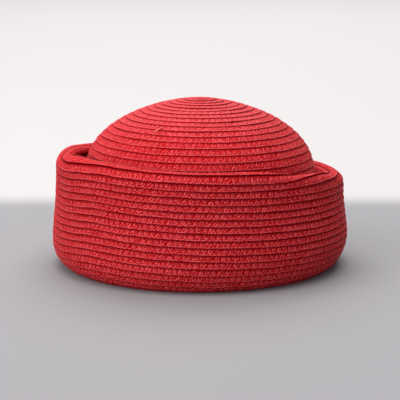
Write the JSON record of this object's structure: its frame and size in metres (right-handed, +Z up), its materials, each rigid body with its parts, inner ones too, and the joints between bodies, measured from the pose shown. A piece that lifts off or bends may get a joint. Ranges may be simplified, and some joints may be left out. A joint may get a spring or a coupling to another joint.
{
  "type": "straw pillbox hat with a turned-up brim",
  "caption": "Round-crowned hat of sewn straw braid, with a tall brim turned up around the crown and a rim that rolls inwards on one side.",
  "frame": {"origin": "centre of the bounding box's bottom face, in the middle of the ring that the hat rests on", "axes": "+Z up through the crown, -Y the front that the picture shows, -X the straighter side of the rim, +X the rolled side; the head's long axis is Y"},
  "size_m": [0.222, 0.236, 0.1249],
  "materials": {
    "crown_straw": "dyed straw braid, sewn in overlapping rows, dull with a faint sheen on the strands",
    "brim_straw": "dyed straw braid, sewn in overlapping rows, dull with a faint sheen on the strands"
  },
  "bodies": {
    "root": {"crown": "crown_straw", "brim_fold": "brim_straw", "brim_cuff": "brim_straw"}
  },
  "joints": []
}
